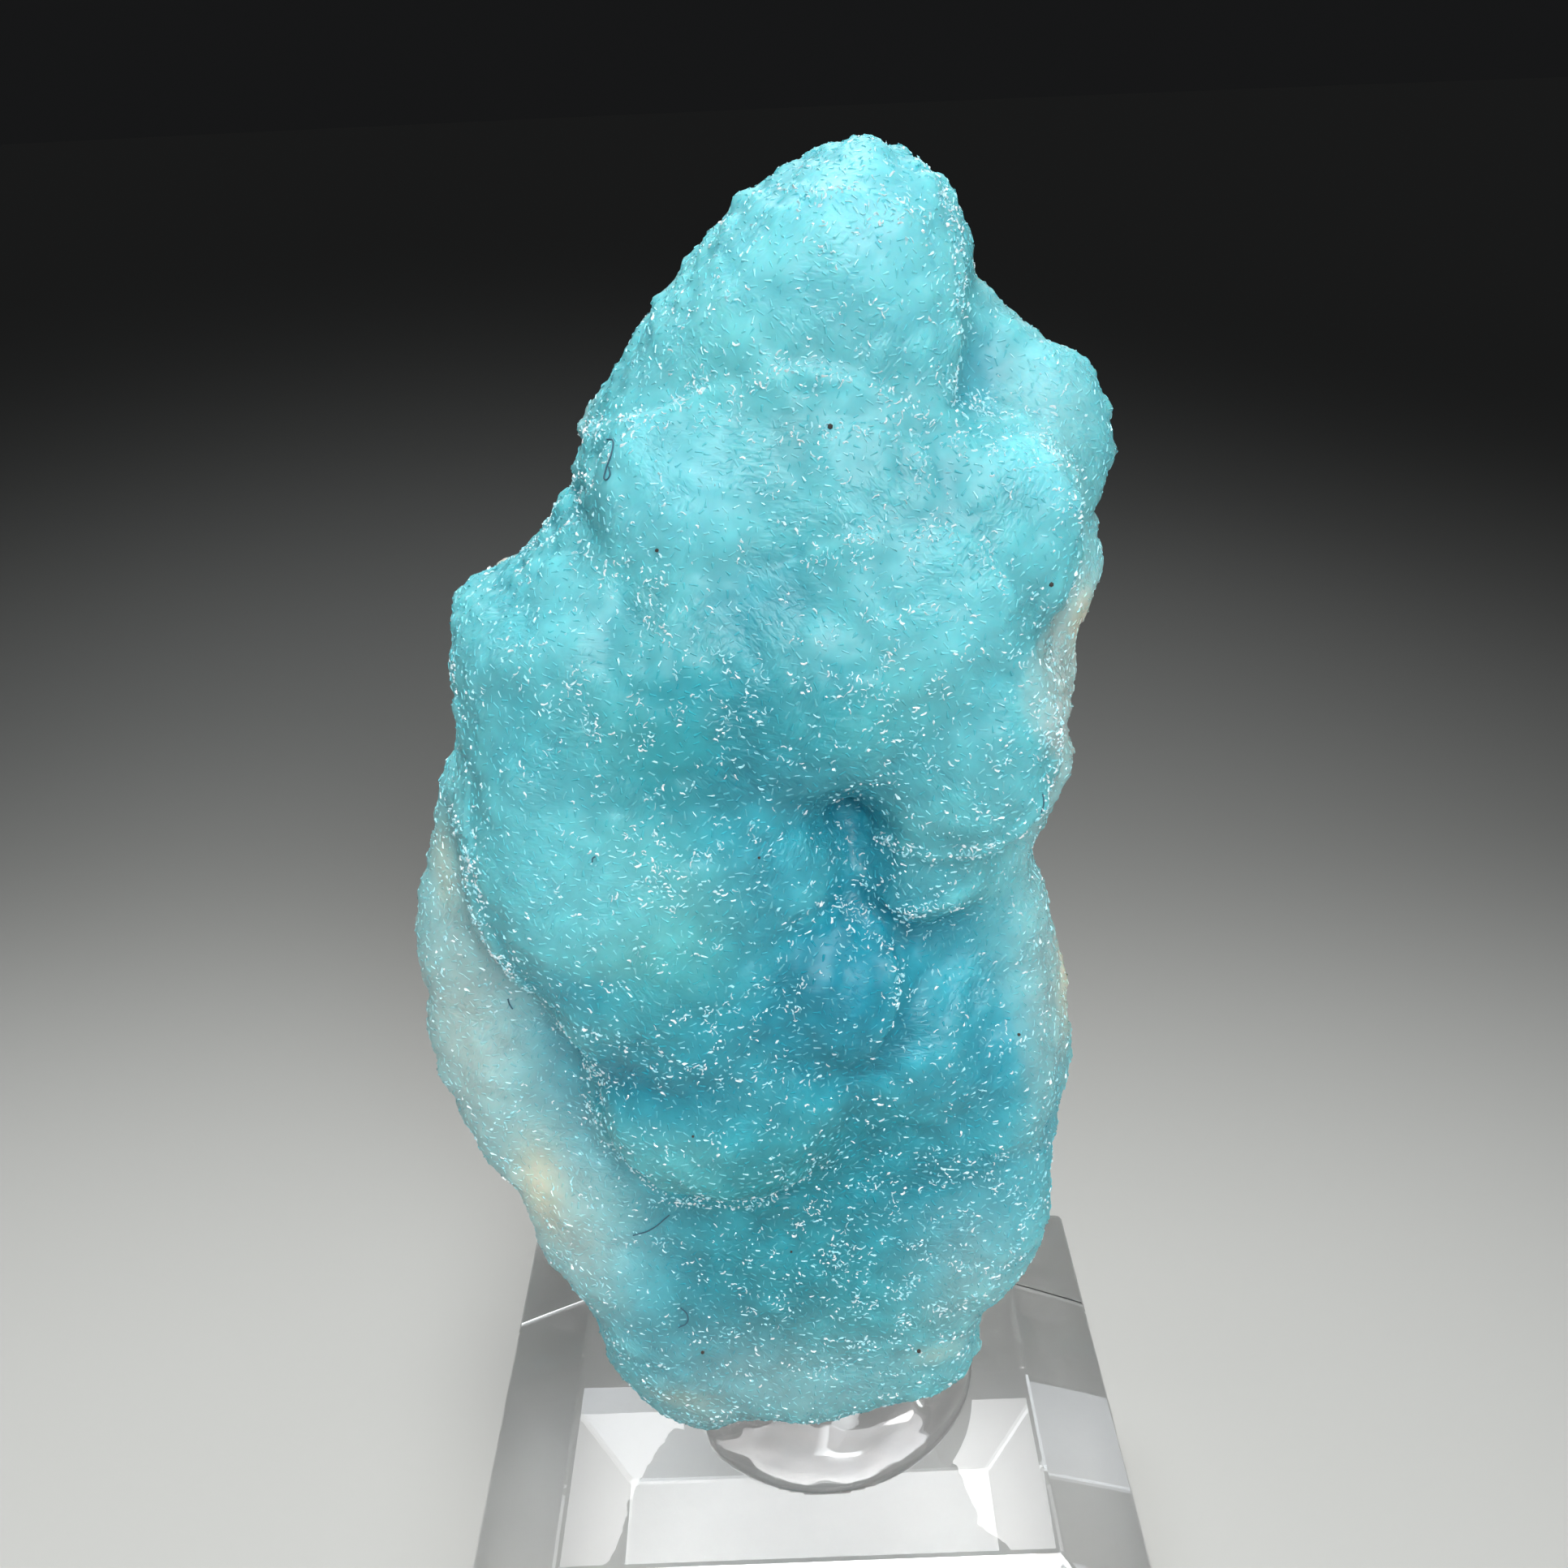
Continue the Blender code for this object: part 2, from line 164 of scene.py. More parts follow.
# Raised growth lines on the druse, seen from the front: points x, z
GROWTH_LINES = {
    "peak ridge": [(2.5, 87.2), (3.6, 87.4), (4.9, 87.2), (5.9, 86.7)],
    "peak side": [(7.0, 88.0), (7.7, 86.7), (8.2, 85.3), (8.1, 83.2), (7.9, 81.1), (7.7, 79.6)],
    "brow": [(-7.4, 78.3), (-5.5, 79.0), (-3.2, 79.7), (-1.9, 80.3), (0.1, 80.8), (1.8, 81.2),
             (3.5, 80.8), (4.7, 80.3), (5.7, 79.6), (7.0, 79.1), (8.0, 79.0), (9.5, 78.9),
             (10.8, 78.4), (11.8, 77.5), (12.6, 76.2), (13.0, 74.5), (13.0, 72.9)],
    "brow step": [(4.1, 79.0), (5.2, 78.6), (6.2, 78.1), (6.8, 77.1)],
    "brow right": [(8.2, 78.4), (8.6, 77.7), (9.7, 77.6), (10.8, 77.2)],
    "cheek": [(2.0, 74.4), (3.7, 75.0), (5.3, 75.2), (7.0, 75.1), (8.2, 74.6), (9.2, 73.5),
              (9.8, 72.5)],
    "right base": [(5.0, 61.1), (6.6, 60.7), (7.9, 60.9), (9.2, 61.0), (10.5, 61.8),
                   (11.8, 63.3), (12.1, 65.0), (11.7, 67.0), (10.5, 68.4)],
    "droplet": [(3.5, 59.2), (4.2, 58.4), (5.4, 57.8), (6.9, 57.8), (8.4, 58.6)],
    "navel": [(2.5, 57.4), (3.6, 57.1), (4.5, 56.4), (5.0, 54.8), (5.1, 53.4), (4.7, 52.1)],
    "left rim": [(-13.3, 62.0), (-13.4, 58.8), (-12.2, 55.0), (-10.6, 51.8), (-9.1, 49.6),
                 (-9.4, 45.8), (-8.5, 43.9), (-7.0, 42.4), (-5.1, 41.3), (-0.6, 41.6)],
    "left shoulder": [(-11.2, 73.7), (-9.9, 73.8), (-8.0, 75.7), (-6.9, 77.0)],
}

# Where tip crystals with white painted glints crowd together: x, z, radius, share
BRIGHT_PATCHES = [
    (2.5, 57.5, 0.8, 1.0), (-7.3, 67.8, 2.3, 0.8), (-1.8, 69.7, 1.9, 0.7),
    (-4.0, 61.5, 2.2, 0.8), (-5.6, 72.6, 2.1, 0.5), (1.9, 80.0, 2.1, 0.7),
    (-2.2, 80.1, 1.9, 0.5), (3.4, 84.8, 2.6, 0.3), (7.1, 64.7, 2.3, 0.5),
    (6.2, 37.6, 5.7, 0.6), (-2.8, 52.3, 3.7, 0.5), (5.3, 69.7, 3.2, 0.6),
]

# Rim of the thick druse, seen from the front, clockwise: the thin skirt lies outside it
DRUSE_RIM = [
    (4.7, 90.5), (7.7, 89.1), (9.1, 86.8), (8.8, 85.1), (8.3, 82.1), (8.1, 79.7), (8.6, 78.8),
    (10.9, 77.7), (12.6, 76.0), (13.5, 74.2), (13.6, 72.4), (12.0, 70.6), (10.4, 69.6),
    (10.1, 67.6), (11.5, 65.6), (12.6, 63.7), (11.9, 61.9), (10.7, 60.5), (9.0, 59.6),
    (9.0, 57.0), (9.2, 53.8), (10.4, 50.9), (11.3, 46.9), (10.4, 43.3), (7.6, 41.4),
    (3.3, 40.8), (-0.6, 41.5), (-5.1, 41.3), (-7.0, 42.4), (-8.5, 43.9), (-9.4, 45.8),
    (-9.1, 49.6), (-10.6, 51.8), (-12.2, 55.0), (-13.4, 58.8), (-13.3, 62.0), (-13.8, 66.0),
    (-14.8, 68.4), (-14.7, 71.2), (-12.5, 73.1), (-10.2, 74.4), (-8.0, 76.0), (-7.0, 79.1),
    (-4.8, 83.4), (0.0, 88.4), (4.7, 90.5),
]

# Soft colour zones of the druse in the front view: x, z, half width, half height, amount. The
# first table is partly the druse's own colour and partly painted shade, darker in hollows,
# pockets, under lumps and low down, and painted light, lighter on the peak and brow.
BLUE_SHADE_AND_LIGHT_ZONES = {
    "peak": (2.6, 85.2, 6.0, 4.2, 0.24), "bright brow": (-2.5, 76.4, 3.1, 2.6, 0.22),
    "right brow": (9.6, 76.2, 2.6, 2.6, -0.02), "cheek": (6.0, 71.4, 4.1, 3.0, 0.16),
    "left shoulder": (-9.5, 69.6, 3.0, 4.5, -0.03), "ear": (11.6, 78.4, 1.9, 2.6, 0.26),
    "upper pocket": (-5.6, 73.5, 2.1, 1.4, 0.10), "deep hole": (3.0, 61.9, 1.4, 2.4, -0.10),
    "under droplet": (5.1, 57.0, 2.7, 1.5, -0.24), "left hip": (-9.4, 54.8, 3.1, 1.7, -0.14),
    "lower pocket": (-7.1, 49.3, 2.8, 2.0, -0.02), "navel side": (0.9, 53.5, 1.8, 2.1, -0.16),
    "navel": (2.6, 53.6, 4.0, 4.4, -0.46), "lap": (-3.0, 47.8, 5.6, 4.6, -0.18),
    "low middle": (4.0, 41.5, 7.0, 6.0, -0.30), "low right": (8.0, 49.0, 4.0, 4.0, -0.12),
    "heart": (-2.8, 65.5, 4.0, 4.5, -0.26), "bead": (0.0, 60.0, 2.6, 2.6, -0.14),
    "nose": (2.0, 67.0, 4.0, 3.5, -0.18), "belly": (-7.0, 60.0, 3.8, 3.6, 0.24),
    "droplet": (5.8, 59.4, 2.2, 1.6, -0.10), "foot": (-3.0, 33.0, 6.0, 6.0, -0.36),
    "peak left": (-2.5, 82.8, 3.0, 3.0, 0.16), "peak right": (7.3, 82.8, 1.8, 3.0, 0.16),
    "shoulder edge": (-14.3, 66.5, 1.5, 5.0, 0.36), "notch": (13.6, 70.6, 1.5, 3.6, 0.30),
    "navel core": (3.0, 54.2, 1.8, 2.4, -0.18), "left pocket": (-8.2, 50.0, 1.8, 1.8, -0.22),
    "right rib": (10.3, 58.6, 1.8, 2.0, 0.22), "left temple": (-4.0, 69.4, 1.8, 1.5, -0.12),
    "under brow": (-0.4, 72.8, 2.4, 1.5, -0.10), "muzzle": (3.2, 69.6, 1.6, 1.5, -0.12),
    "lap left": (-5.0, 46.0, 2.6, 2.0, 0.18), "low chest": (-4.0, 54.4, 2.6, 2.4, -0.12),
    "low chest side": (-1.0, 50.6, 1.9, 1.9, 0.14), "right hip": (10.0, 49.4, 1.9, 1.9, -0.14),
    "low heart": (-4.0, 51.5, 3.5, 3.0, -0.18), "ear inside": (9.3, 80.5, 1.6, 2.2, -0.14),
}
PALE_ZONES = {
    "right strip": (13.0, 66.5, 2.4, 6.0, 0.95), "right side": (13.0, 52.5, 2.2, 7.0, 0.55),
    "left flank": (-15.6, 50.0, 3.6, 9.0, 0.85), "left foot": (-11.5, 38.5, 3.4, 5.5, 0.75),
    "foot": (-1.0, 28.5, 8.0, 4.5, 0.42), "right foot": (9.0, 35.5, 3.0, 5.0, 0.35),
    "tip": (-5.6, 25.0, 3.0, 2.0, 0.35), "ear inside": (9.3, 80.5, 1.6, 2.2, 0.10),
    "left summit": (-6.5, 79.5, 1.8, 4.0, 0.60), "peak tip": (4.4, 89.2, 1.3, 0.8, 0.60),
    "ear": (12.4, 78.5, 1.8, 3.0, 0.20),
}
WARM_ZONES = {
    "left patch": (-12.9, 40.8, 1.2, 2.8, 0.70), "right edge": (14.2, 50.6, 0.8, 2.8, 0.80),
    "right notch": (14.0, 69.3, 0.6, 1.4, 0.80), "left edge": (-15.6, 58.6, 0.8, 2.1, 0.40),
    "foot edge": (-6.4, 27.5, 1.8, 1.1, 0.30), "foot specks": (7.2, 30.5, 1.4, 0.7, 0.25),
}
GREEN_ZONES = {
    "heart": (-4.0, 66.9, 3.2, 4.2, 0.90), "belly": (-4.4, 56.2, 3.7, 4.0, 0.70),
    "nose": (3.0, 67.8, 3.6, 2.2, 0.60), "temple": (-0.9, 81.9, 2.9, 2.2, 0.30),
    "lap": (0.4, 44.2, 6.6, 5.1, 0.90), "foot": (0.0, 34.0, 8.0, 6.0, 0.90),
}

# Dust fibres, seen by the camera against the outline's plane: points x, z
FIBRES = {
    "left summit": [(-6.5, 77.61), (-6.26, 77.46), (-6.38, 76.94), (-6.68, 76.25),
                    (-6.75, 75.87), (-6.53, 76.0), (-6.53, 76.42)],
    "right base": [(12.67, 60.17), (12.75, 59.67), (12.65, 59.21)],
    "left flank": [(-13.77, 50.26), (-13.73, 49.93), (-13.6, 49.64)],
    "belly": [(-8.91, 57.56), (-8.86, 57.77), (-8.73, 57.85)],
    "left foot": [(-8.66, 35.47), (-7.77, 35.75), (-6.62, 36.7)],
    "foot": [(-6.42, 30.5), (-6.09, 29.98), (-6.18, 29.42), (-6.64, 29.16)],
}

# Dark specks, seen in the same way: x, z, radius
SPECKS = [
    (3.12, 77.73, 0.12), (-4.71, 72.65, 0.09), (12.83, 70.35, 0.11), (11.79, 46.98, 0.09),
    (-0.9, 57.42, 0.07), (-5.41, 27.34, 0.11), (-2.76, 22.22, 0.20), (6.59, 26.87, 0.13),
    (-5.06, 41.63, 0.07), (-0.23, 34.0, 0.07),
]


def select_only(obj):
    bpy.ops.object.select_all(action="DESELECT")
    obj.select_set(True)
    bpy.context.view_layer.objects.active = obj


def new_object(name, data):
    obj = bpy.data.objects.new(name, data)
    bpy.context.scene.collection.objects.link(obj)
    return obj


def apply_modifiers(obj):
    select_only(obj)
    for modifier in list(obj.modifiers):
        bpy.ops.object.modifier_apply(modifier=modifier.name)


def soften(obj, rounds):
    """Adds many rounds of smoothing to the object's modifiers."""
    modifier = obj.modifiers.new("soften", "SMOOTH")
    modifier.factor = 0.5
    modifier.iterations = rounds


def remake_in_voxels(obj, voxel, rounds):
    """Rebuilds the object's surface in even small faces and smooths it."""
    modifier = obj.modifiers.new("remesh", "REMESH")
    modifier.mode = "VOXEL"
    modifier.voxel_size = voxel * MM
    soften(obj, rounds)
    apply_modifiers(obj)


def merged_copy(node, name):
    """A piece with the node's shape, its loose triangles merged."""
    piece = new_object(name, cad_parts[node].data.copy())
    form = bmesh.new()
    form.from_mesh(piece.data)
    bmesh.ops.remove_doubles(form, verts=form.verts, dist=MERGE_GAP * MM)
    form.to_mesh(piece.data)
    form.free()
    return piece


def points_of(mesh):
    """Vertex places in millimetres."""
    flat = np.empty(len(mesh.vertices) * 3)
    mesh.vertices.foreach_get("co", flat)
    return flat.reshape(-1, 3) / MM


def normals_of(mesh):
    flat = np.empty(len(mesh.vertices) * 3)
    mesh.vertices.foreach_get("normal", flat)
    return flat.reshape(-1, 3)


def put_points(mesh, points):
    mesh.vertices.foreach_set("co", (points * MM).ravel())
    mesh.update()


def put_attribute(mesh, name, values):
    layer = mesh.attributes.new(name, "FLOAT", "POINT")
    layer.data.foreach_set("value", np.asarray(values, dtype=np.float32))


def smoothed_points(piece, rounds):
    """Vertex places of the piece after many rounds of smoothing."""
    calm = new_object("calm", piece.data.copy())
    soften(calm, rounds)
    apply_modifiers(calm)
    points = points_of(calm.data)
    bpy.data.objects.remove(calm)
    return points


def spread(mesh, values, rounds):
    """Averages values with their neighbours, again and again."""
    edges = np.empty(len(mesh.edges) * 2, dtype=np.int64)
    mesh.edges.foreach_get("vertices", edges)
    one, two = edges.reshape(-1, 2).T
    count = len(mesh.vertices)
    around = np.bincount(one, minlength=count) + np.bincount(two, minlength=count)
    for _ in range(rounds):
        total = np.bincount(one, values[two], count) + np.bincount(two, values[one], count)
        values = 0.5 * values + 0.5 * total / around
    return values


def ramp(values, low, high):
    """0 below low, 1 above high and smooth between."""
    t = np.clip((values - low) / (high - low), 0.0, 1.0)
    return t * t * (3.0 - 2.0 * t)


def distance_to_line(flat, line):
    """Distance in the front view to a run of straight pieces, and the side: the inner
    side lies to the right of a walk along the line."""
    nearest = np.full(len(flat), 1e9)
    inner = np.zeros(len(flat), dtype=bool)
    for a, b in zip(np.array(line), np.array(line[1:])):
        along = np.clip(((flat - a) @ (b - a)) / ((b - a) @ (b - a)), 0.0, 1.0)
        gap = flat - a - along[:, None] * (b - a)
        size = np.linalg.norm(gap, axis=1)
        right = (b - a)[1] * gap[:, 0] - (b - a)[0] * gap[:, 1] > 0.0
        closer = size < nearest
        nearest = np.where(closer, size, nearest)
        inner = np.where(closer, right, inner)
    return nearest, inner


def displace(piece, name, kind, scale, settings, height, group):
    """Pushes a part of the surface in and out by a texture."""
    texture = bpy.data.textures.new(name, kind)
    texture.noise_scale = scale * MM
    for key, value in settings.items():
        setattr(texture, key, value)
    modifier = piece.modifiers.new(name, "DISPLACE")
    modifier.texture = texture
    modifier.texture_coords = "LOCAL"
    modifier.strength = height * MM
    modifier.mid_level = 0.5
    modifier.vertex_group = group


def weigh(piece, name, weights):
    """A vertex group from an array of weights."""
    levels = 20
    group = piece.vertex_groups.new(name=name)
    steps = np.round(np.clip(weights, 0.0, 1.0) * levels).astype(int)
    for step in range(1, levels + 1):
        group.add([int(i) for i in np.flatnonzero(steps == step)], step / levels, "REPLACE")


def outline_depth(z):
    """Y of the outline's leaning plane at a height."""
    return OUTLINE_Y - LEAN * (1.0 - (z - TACK_SEAT) / LEAN_HEIGHT)


def behind_outline(points):
    """How far each point lies behind the outline's plane."""
    return points[:, 1] - outline_depth(points[:, 2])


def thickness_at(points):
    """Front to back thickness under each point, from a coarse grid."""
    left_edge = -30.0
    column = np.floor((points[:, 0] - left_edge) / THICKNESS_CELL).astype(int)
    row = np.floor(points[:, 2] / THICKNESS_CELL).astype(int)
    key = column * 1000 + row
    front = np.full(key.max() + 1, 1e9)
    back = np.full(key.max() + 1, -1e9)
    np.minimum.at(front, key, points[:, 1])
    np.maximum.at(back, key, points[:, 1])
    return (back - front)[key]


def build_crust():
    """The crust with its lumps, growth steps, scalloped rim and broken back."""
    crust = merged_copy("hemimorphite", "hemimorphite_crust")
    remake_in_voxels(crust, CRUST_VOXEL, CRUST_ROUNDS)

    points = points_of(crust.data)
    behind = ramp(behind_outline(points), *BACK_RELIEF)
    calm = smoothed_points(crust, CALM_ROUNDS)
    points[:, 1] += CALM_SHARE * (1.0 - behind) * (calm[:, 1] - points[:, 1])
    put_points(crust.data, points)
    side = ramp(1.0 - np.abs(normals_of(crust.data)[:, 1]), 0.35, 0.9)
    weigh(crust, "front", 1.0 - behind)
    weigh(crust, "rim", side)
    weigh(crust, "back", behind)
    for relief in RELIEFS:
        displace(crust, *relief)
    apply_modifiers(crust)

    points = points_of(crust.data)
    normals = normals_of(crust.data)
    flat = points[:, [0, 2]]
    raised = np.zeros(len(points))
    near_line = np.full(len(points), 1e9)
    for line in GROWTH_LINES.values():
        away, inner = distance_to_line(flat, line)
        step = np.where(inner, np.exp(-away / GROWTH_FADE_INNER),
                        np.exp(-(away / GROWTH_FADE_OUTER) ** 2))
        raised = np.maximum(raised, GROWTH_STEP * step)
        near_line = np.minimum(near_line, away)
    facing = ramp(-normals[:, 1], 0.1, 0.6)
    put_points(crust.data, inside_box(points + normals * (raised * facing)[:, None]))
    measure_crust(crust, near_line)
    crust.vertex_groups.clear()
    select_only(crust)
    bpy.ops.object.shade_smooth()
    return crust


def inside_box(points):
    """Holds points in millimetres just inside the CAD model's box."""
    low = np.array(cad_box[0]) / MM + BOX_MARGIN
    high = np.array(cad_box[1]) / MM - BOX_MARGIN
    return np.clip(points, low, high)


def zone_sum(points, zones):
    """Soft oval zones in the front view, added up."""
    total = np.zeros(len(points))
    for x, z, wide, high, amount in zones.values():
        away = ((points[:, 0] - x) / wide) ** 2 + ((points[:, 2] - z) / high) ** 2
        total += amount * np.exp(-away)
    return total


def measure_crust(crust, near_line):
    """Attributes that drive the crust's colours and where its crystals grow."""
    mesh = crust.data
    points = points_of(mesh)
    normals = normals_of(mesh)
    near = smoothed_points(crust, SMALL_HOLLOW_ROUNDS)
    far = smoothed_points(crust, WIDE_HOLLOW_ROUNDS)
    small_hollow = spread(mesh, np.sum((near - points) * normals, axis=1), 6)
    wide_hollow = spread(mesh, np.sum((far - points) * normals, axis=1), 20)
    thick = spread(mesh, thickness_at(points), 20) / FULL_THICKNESS
    behind = ramp(behind_outline(points), *BACK_COLOUR)
    front = np.clip(spread(mesh, 1.0 - behind, 3), 0.0, 1.0)

    # Painted shade: darker in small and wide hollows; the zones add painted shade in pockets and
    # under lumps, and painted light on the peak and brow, over the crust's own colour.
    blue_shade_and_light = BLUE_LEVEL - 0.45 * small_hollow - 0.25 * wide_hollow + zone_sum(points, BLUE_SHADE_AND_LIGHT_ZONES)
    # Painted shade: darker towards the bottom, where less light from above falls.
    blue_shade_and_light -= 0.10 * (1.0 - ramp(points[:, 2], 42.0, 76.0))
    away, inner = distance_to_line(points[:, [0, 2]], DRUSE_RIM)
    skirt = ramp(np.where(inner, -away, away), -0.3, 0.5)
    pale = skirt * np.clip(zone_sum(points, PALE_ZONES), 0.0, 0.9)
    pale += 0.4 * (1.0 - ramp(thick, 0.10, 0.26))
    broken = 0.5 + 0.5 * np.sin(points[:, 0] * 2.3 + 1.7 * np.sin(points[:, 2] * 1.9))
    # Shares of tip crystals, whose white ones are painted glints: crowded along the growth lines
    # and in patches.
    crest = 0.8 * np.exp(-(near_line / 0.4) ** 2) * broken * front
    bright = BRIGHT_LEVEL + 0.4 * np.exp(-(near_line / 0.8) ** 2)
    for x, z, radius, share in BRIGHT_PATCHES:
        away = np.hypot(points[:, 0] - x, points[:, 2] - z)
        bright = np.maximum(bright, BRIGHT_LEVEL + share * np.exp(-(away / radius) ** 2))
    bright = bright * front * ramp(thick, 0.2, 0.55)

    shares = {"blue_shade_and_light": blue_shade_and_light, "pale": pale, "warm": zone_sum(points, WARM_ZONES),
              "green": zone_sum(points, GREEN_ZONES), "behind": behind, "bright": bright,
              "crest": crest, "cover": front}
    for name, values in shares.items():
        put_attribute(mesh, name, np.clip(values, 0.0, 1.0))


def lying_crystal(name, size, bend=0.0):
    """One roof shaped crystal that lies on the origin, sunk a little below it."""
    length, width, height = size
    bpy.ops.object.select_all(action="DESELECT")
    bpy.ops.mesh.primitive_cube_add(size=1.0, location=(0.0, 0.0, 0.0))
    crystal = bpy.context.active_object
    crystal.name = name
    crystal.scale = (length * MM, width * MM, height * MM)
    crystal.location = (0.0, 0.0, 0.1 * height * MM)
    bpy.ops.object.transform_apply(location=True, rotation=False, scale=True)
    form = bmesh.new()
    form.from_mesh(crystal.data)
    for vertex in form.verts:
        if vertex.co.z > 0.0:
            vertex.co.x *= RIDGE_LENGTH
            vertex.co.y *= RIDGE_WIDTH
    under = [face for face in form.faces if face.normal.z < -0.9]
    bmesh.ops.delete(form, geom=under, context="FACES_ONLY")
    if bend:
        long_edges = [edge for edge in form.edges if edge.calc_length() > 0.5 * length * MM]
        bmesh.ops.subdivide_edges(form, edges=long_edges, cuts=1, use_grid_fill=True)
        for vertex in form.verts:
            vertex.co.y += bend * abs(vertex.co.x)
    form.to_mesh(crystal.data)
    form.free()
    return crystal


def named_value(nodes, name):
    node = nodes.new("GeometryNodeInputNamedAttribute")
    node.data_type = "FLOAT"
    node.inputs["Name"].default_value = name
    return node.outputs["Attribute"]


def calculate(tree, operation, one, two):
    node = tree.nodes.new("ShaderNodeMath")
    node.operation = operation
    tree.links.new(one, node.inputs[0])
    tree.links.new(two, node.inputs[1])
    return node.outputs["Value"]


def grow_crystals(name, crust, crystal, spacing, share, small, large, lean, seed, ringed):
    """Crystals scattered over the crust and joined in one mesh."""
    tree = bpy.data.node_groups.new(name, "GeometryNodeTree")
    tree.interface.new_socket("Geometry", in_out="INPUT", socket_type="NodeSocketGeometry")
    tree.interface.new_socket("Geometry", in_out="OUTPUT", socket_type="NodeSocketGeometry")
    nodes, link = tree.nodes, tree.links.new
    surface = nodes.new("NodeGroupInput")
    result = nodes.new("NodeGroupOutput")

    scatter = nodes.new("GeometryNodeDistributePointsOnFaces")
    scatter.distribute_method = "POISSON"
    scatter.inputs["Distance Min"].default_value = spacing * MM
    scatter.inputs["Density Max"].default_value = 2.0 / (spacing * MM) ** 2
    scatter.inputs["Seed"].default_value = seed
    density = named_value(nodes, share)
    if ringed:
        density = calculate(tree, "ADD", in_rings(tree, density), named_value(nodes, "crest"))
    link(surface.outputs["Geometry"], scatter.inputs["Mesh"])
    link(density, scatter.inputs["Density Factor"])

    model = nodes.new("GeometryNodeObjectInfo")
    model.inputs["Object"].default_value = crystal
    model.inputs["As Instance"].default_value = True
    tilt = nodes.new("FunctionNodeRandomValue")
    tilt.data_type = "FLOAT_VECTOR"
    tilt.inputs["Min"].default_value = (-lean, -lean, -math.pi)
    tilt.inputs["Max"].default_value = (lean, lean, math.pi)
    tilt.inputs["Seed"].default_value = seed + 1
    turn = nodes.new("FunctionNodeEulerToRotation")
    aim = nodes.new("FunctionNodeRotateRotation")
    aim.rotation_space = "LOCAL"
    link(tilt.outputs["Value"], turn.inputs["Euler"])
    link(scatter.outputs["Rotation"], aim.inputs["Rotation"])
    link(turn.outputs["Rotation"], aim.inputs["Rotate By"])

    scale = nodes.new("FunctionNodeRandomValue")
    scale.data_type = "FLOAT_VECTOR"
    scale.inputs["Min"].default_value = small
    scale.inputs["Max"].default_value = large
    scale.inputs["Seed"].default_value = seed + 2
    place = nodes.new("GeometryNodeInstanceOnPoints")
    link(scatter.outputs["Points"], place.inputs["Points"])
    link(model.outputs["Geometry"], place.inputs["Instance"])
    link(aim.outputs["Rotation"], place.inputs["Rotation"])
    link(scale.outputs["Value"], place.inputs["Scale"])

    shade = nodes.new("FunctionNodeRandomValue")
    shade.data_type = "FLOAT"
    shade.inputs["Seed"].default_value = seed + 3
    keep = nodes.new("GeometryNodeStoreNamedAttribute")
    keep.data_type = "FLOAT"
    keep.domain = "INSTANCE"
    keep.inputs["Name"].default_value = "tone"
    link(place.outputs["Instances"], keep.inputs["Geometry"])
    link([s for s in shade.outputs if s.enabled][0], keep.inputs["Value"])
    real = nodes.new("GeometryNodeRealizeInstances")
    link(keep.outputs["Geometry"], real.inputs["Geometry"])
    link(real.outputs["Geometry"], result.inputs["Geometry"])

    crystals = new_object(name, crust.data.copy())
    grow = crystals.modifiers.new("grow", "NODES")
    grow.node_group = tree
    apply_modifiers(crystals)
    bpy.data.node_groups.remove(tree)
    return crystals


def in_rings(tree, density):
    """Keeps a density to the borders of small cells, and to loose patches of them."""
    nodes, link = tree.nodes, tree.links.new
    cell = nodes.new("ShaderNodeTexVoronoi")
    cell.feature = "DISTANCE_TO_EDGE"
    cell.inputs["Scale"].default_value = 1.0 / (RING_SIZE * MM)
    border = nodes.new("ShaderNodeMapRange")
    border.interpolation_type = "SMOOTHSTEP"
    border.inputs["From Min"].default_value = 0.05
    border.inputs["From Max"].default_value = 0.28
    border.inputs["To Min"].default_value = 1.0
    border.inputs["To Max"].default_value = 0.06
    cloud = nodes.new("ShaderNodeTexNoise")
    cloud.inputs["Scale"].default_value = 1.0 / (PATCH_SIZE * MM)
    cloud.inputs["Detail"].default_value = 2.0
    patch = nodes.new("ShaderNodeMapRange")
    patch.inputs["From Min"].default_value = 0.46
    patch.inputs["From Max"].default_value = 0.58
    patch.inputs["To Min"].default_value = 0.10
    link(cell.outputs["Distance"], border.inputs["Value"])
    link(cloud.outputs["Fac"], patch.inputs["Value"])
    density = calculate(tree, "MULTIPLY", density, border.outputs["Result"])
    return calculate(tree, "MULTIPLY", density, patch.outputs["Result"])


def shader_of(name):
    """A new material, its node tree and its Principled shader."""
    material = bpy.data.materials.new(name)
    material.use_nodes = True
    tree = material.node_tree
    return material, tree, tree.nodes["Principled BSDF"]


def attribute(tree, name):
    """The value that the mesh carries under a name."""
    node = tree.nodes.new("ShaderNodeAttribute")
    node.attribute_name = name
    return node.outputs["Fac"]


def colour_ramp(tree, factor, stops):
    node = tree.nodes.new("ShaderNodeValToRGB")
    tree.links.new(factor, node.inputs["Fac"])
    elements = node.color_ramp.elements
    while len(elements) < len(stops):
        elements.new(1.0)
    for element, (place, colour) in zip(elements, stops):
        element.position = place
        element.color = (*colour, 1.0)
    return node.outputs["Color"]


def mix(tree, factor, one, two, blend="MIX"):
    node = tree.nodes.new("ShaderNodeMix")
    node.data_type = "RGBA"
    node.blend_type = blend
    for socket, value in ((node.inputs[0], factor), (node.inputs[6], one), (node.inputs[7], two)):
        if isinstance(value, bpy.types.NodeSocket):
            tree.links.new(value, socket)
        elif isinstance(value, tuple):
            socket.default_value = (*value, 1.0)
        else:
            socket.default_value = value
    return node.outputs[2]


